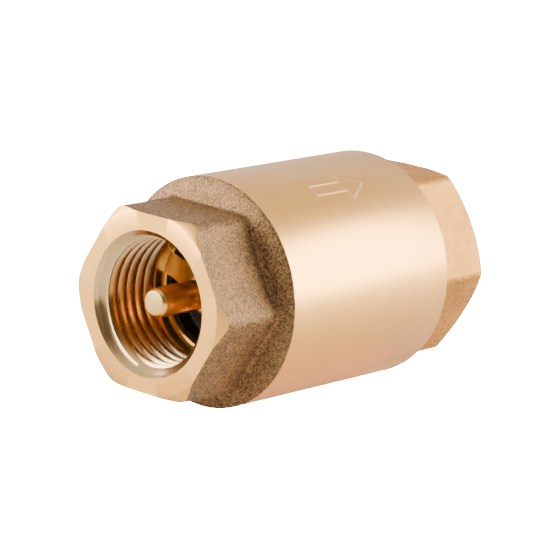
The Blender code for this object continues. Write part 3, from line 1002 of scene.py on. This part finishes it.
@dataclass
class Poppet:
    """The stem, the disc and all that slides with them."""

    finishes: Finishes
    stem_radius: float = 2.2 * MM
    tip_chamfer: float = 0.45 * MM
    groove_radius: float = 1.7 * MM
    collar_radius: float = 3.3 * MM
    front: float = 1.4 * MM
    back: float = 41.0 * MM

    def stem(self) -> Object:
        """The stem, with its tips, clip groove and collar."""
        tip, r, collar = self.tip_chamfer, self.stem_radius, self.collar_radius
        edge, relief, fillet, dip = 0.1 * MM, 0.05 * MM, 0.08 * MM, 0.02 * MM
        front_tip = [
            (self.front, 0.0), (self.front, r - tip - edge), (self.front + dip, r - tip),
            (self.front + tip, r - edge * 0.4), (self.front + tip + edge, r)]
        groove = [
            (14.9 * MM, r), (14.95 * MM, r - relief), (14.95 * MM, self.groove_radius),
            (15.55 * MM, self.groove_radius), (15.55 * MM, r - relief), (15.6 * MM, r)]
        ridge = [
            (23.62 * MM, r), (23.7 * MM, r + fillet), (23.7 * MM, collar - 0.15 * MM), (23.85 * MM, collar),
            (24.55 * MM, collar), (24.7 * MM, collar - 0.15 * MM), (24.7 * MM, r + fillet), (24.78 * MM, r)]
        back_tip = [
            (self.back - tip - edge, r), (self.back - tip, r - edge * 0.4), (self.back - dip, r - tip),
            (self.back, r - tip - edge), (self.back, 0.0)]
        outline = front_tip + groove + ridge + back_tip
        piece = spin("stem", outline, self.finishes.bright, steps=96)
        return hand_over(piece, Body.POPPET, "stem")

    def disc(self) -> None:
        """The retainer, the seal and the carrier behind it."""
        ring = in_mm((15.82, 2.25), (15.82, 3.9), (16.05, 4.2), (16.05, 7.6), (15.82, 7.8), (15.82, 8.2),
                     (16.0, 8.4), (17.02, 8.4), (17.02, 2.25))
        retainer = spin("seal_retainer", rounded(ring, 0.12 * MM), self.finishes.nylon, steps=128)
        hand_over(retainer, Body.POPPET, "seal_retainer")
        ring = in_mm((17.04, 4.3), (17.04, 10.9), (18.96, 10.9), (18.96, 4.3))
        seal = spin("disc_seal", rounded(ring, 0.3 * MM, 4), self.finishes.rubber, steps=144)
        hand_over(seal, Body.POPPET, "disc_seal")
        ring = in_mm((19.0, 2.25), (19.0, 11.0), (21.1, 11.0), (21.4, 10.7), (21.4, 5.6), (20.9, 5.2),
                     (20.9, 3.7), (21.3, 3.2), (23.4, 3.2), (23.4, 2.25))
        carrier = spin("disc_carrier", rounded(ring, 0.25 * MM), self.finishes.nylon, steps=144)
        hand_over(carrier, Body.POPPET, "disc_carrier")

    def clip(self) -> Object:
        """The spring-steel clip: three teeth in the groove, open at the bottom."""
        outer, tooth, waist = 3.6 * MM, 1.78 * MM, 2.5 * MM
        mouth, third, half = (math.radians(a) for a in (140.0, 120.0, 20.0))
        outline = arc(outer, -mouth, mouth, 40)
        for centre in (third, 0.0, -third):
            outline += arc(tooth, centre + half, centre - half, 6)
            if centre > -third:
                outline += arc(waist, centre - 1.6 * half, centre - third + 1.6 * half, 8)
        piece = slab("retaining_clip", outline, 15.0 * MM, 15.5 * MM, self.finishes.steel)
        soften(piece, 0.06 * MM)
        return hand_over(piece, Body.POPPET, "retaining_clip")

    def build(self) -> None:
        """Every sliding piece."""
        self.stem()
        self.disc()
        self.clip()


@dataclass
class SpringPack:
    """The spring, the washer it stands on and the cap's gasket."""

    finishes: Finishes
    start: float = 21.7 * MM
    end: float = 38.7 * MM
    wire: float = 0.3 * MM
    radius: float = 4.4 * MM
    turns: int = 8
    end_pitch: float = 0.8 * MM
    steps: int = 48
    sides: int = 14
    ground: float = 0.08 * MM
    travel: float = 5.0 * MM

    def rise(self, turn: float) -> float:
        """How far the wire has climbed after some turns: slowly in the first and last turn."""
        active = (self.end - self.start - 2 * self.wire - 2 * self.end_pitch) / (self.turns - 2)
        return (min(turn, 1.0) * self.end_pitch + max(0.0, min(turn, self.turns - 1) - 1.0) * active
                + max(0.0, turn - self.turns + 1) * self.end_pitch)

    def spring(self) -> Object:
        """The coil, its ends closed and ground flat."""
        deselect()
        bpy.ops.mesh.primitive_circle_add(vertices=self.sides, radius=self.wire, rotation=(math.pi / 2, 0, 0),
                                          location=at(self.start + self.wire, self.radius))
        coil = bpy.context.object
        coil.name = "spring"
        settle(coil)
        run_modifier(coil, "SCREW", axis="X", angle=FULL_TURN, screw_offset=0.0, iterations=self.turns,
                     steps=self.steps, render_steps=self.steps, use_merge_vertices=False)
        for vertex in coil.data.vertices:
            vertex.co.x += self.rise(vertex.index // self.sides / self.steps)
        with editing(coil):
            bpy.ops.mesh.fill_holes(sides=0)
        trim(coil, self.start + self.ground, self.end - self.ground)
        tidy_mesh(coil)
        coil.data.materials.append(self.finishes.steel)
        hand_over(coil, Body.VALVE, "spring", 40.0)
        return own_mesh(coil)

    def build(self) -> None:
        """The spring, washer and gasket."""
        self.spring()
        ring = in_mm((39.0, 3.7), (39.0, 5.8), (39.6, 5.8), (39.6, 3.7))
        washer = spin("spring_seat", rounded(ring, 0.15 * MM), self.finishes.steel, steps=96)
        hand_over(washer, Body.VALVE, "spring_seat")
        ring = in_mm((38.34, 13.8), (38.34, 15.2), (39.56, 15.2), (39.56, 13.8))
        gasket = spin("cap_gasket", rounded(ring, 0.18 * MM), self.finishes.fibre, steps=128)
        hand_over(gasket, Body.VALVE, "cap_gasket")


@dataclass
class Studio:
    """A pale floor, soft light and the camera."""

    focal: float = 210.8
    sensor: float = 36.0
    distance: float = 489.5 * MM
    azimuth: float = 41.63
    elevation: float = 10.5
    lean: float = 5.3
    target: float = 25.9 * MM
    aside: float = 1.88 * MM
    backdrop: float = 40.0
    ambient: float = 1.25
    gloom: float = 0.2
    dark_side: tuple[float, float, float] = (-0.74, -0.66, 0.05)
    floor_size: float = 4.0
    softbox_distance: float = 0.6

    def camera(self) -> None:
        """Places the camera: it leans round the flow axis, because the flats here are level."""
        turn, rise = math.radians(self.azimuth), math.radians(self.elevation)
        back = Vector((-math.cos(turn) * math.cos(rise), -math.sin(turn) * math.cos(rise), math.sin(rise)))
        right = Vector((math.sin(turn), -math.cos(turn), 0.0))
        lean = Matrix.Rotation(-math.radians(self.lean), 3, "X")
        back, right = lean @ back, lean @ right
        up = back.cross(right)
        data = bpy.data.cameras.new("camera")
        data.lens = self.focal
        data.sensor_width = self.sensor
        camera = bpy.data.objects.new("camera", data)
        bpy.context.scene.collection.objects.link(camera)
        place = at(self.target, 0.0) + back * self.distance + right * self.aside
        camera.matrix_world = Matrix.Translation(place) @ Matrix((right, up, back)).transposed().to_4x4()
        bpy.context.scene.camera = camera

    def softbox(self, name: str, direction: Point, size: Point, power: float) -> None:
        """Hangs an area light that faces the valve.

        Args:
            name: the light's name.
            direction: azimuth from +X towards +Y, and elevation, in degrees.
            size: width and height.
            power: in watts.
        """
        turn, rise = (math.radians(a) for a in direction)
        away = Vector((math.cos(turn) * math.cos(rise), math.sin(turn) * math.cos(rise), math.sin(rise)))
        data = bpy.data.lights.new(name, "AREA")
        data.shape = "RECTANGLE"
        data.size, data.size_y = size
        data.energy = power
        light = bpy.data.objects.new(name, data)
        light.location = away * self.softbox_distance
        light.rotation_euler = away.to_track_quat("Z", "Y").to_euler()
        bpy.context.scene.collection.objects.link(light)

    def floor(self) -> None:
        """Lays the pale floor under the barrel."""
        deselect()
        bpy.ops.mesh.primitive_plane_add(size=self.floor_size, location=(0, 0, CAD_BOUNDS[0][2]))
        floor = bpy.context.object
        floor.name = "floor"
        made, board, shader = start_finish("pale_floor", Roughness=0.6)
        shader.inputs["Base Color"].default_value = rgb(0.88, 0.88, 0.88)
        seen = board.node("Emission", {"Color": rgb(1.0, 1.0, 1.0), "Strength": self.backdrop})
        either = board.node("MixShader", {
            0: board.node("LightPath").outputs["Is Camera Ray"], 1: shader.outputs[0], 2: seen.outputs[0]})
        made.node_tree.links.new(either.outputs[0], made.node_tree.nodes["Material Output"].inputs["Surface"])
        floor.data.materials.append(made)

    def surroundings(self) -> None:
        """Fills the room with pale light, and leaves one side of it dark for the metal to mirror."""
        world = bpy.data.worlds.new("room")
        bpy.context.scene.world = world
        world.use_nodes = True
        background = world.node_tree.nodes["Background"]
        background.inputs["Color"].default_value = rgb(1.0, 1.0, 1.0)
        board = Board(world.node_tree)
        way = board.node("TexCoord").outputs["Generated"]
        across = board.node("VectorMath", {0: way, 1: self.dark_side}, operation="DOT_PRODUCT")
        lit = board.node("MapRange", {
            VALUE: across.outputs["Value"], FROM_LOW: 0.2, FROM_HIGH: 0.75, TO_LOW: self.ambient,
            TO_HIGH: self.gloom}).outputs[0]
        seen = board.node("LightPath").outputs["Is Camera Ray"]
        strength = board.maths("MAXIMUM", board.maths("MULTIPLY", seen, self.backdrop), lit)
        world.node_tree.links.new(strength, background.inputs["Strength"])

    def build(self) -> None:
        """Sets up the whole studio."""
        self.camera()
        self.floor()
        self.surroundings()
        self.softbox("side_softbox", direction=(-38.0, 14.0), size=(0.5, 0.39), power=8.0)
        self.softbox("left_softbox", direction=(136.0, 2.0), size=(0.75, 0.65), power=17.0)


def main() -> None:
    """Builds the valve's pieces and the studio."""
    logging.basicConfig(level=logging.INFO, format="%(message)s")
    finishes = Finishes()
    ValveBody(finishes).build()
    EndCap(finishes).build()
    guides = Guides(finishes)
    guides.inlet()
    guides.outlet()
    Poppet(finishes).build()
    SpringPack(finishes).build()
    Studio().build()


if __name__ == "__main__":
    main()
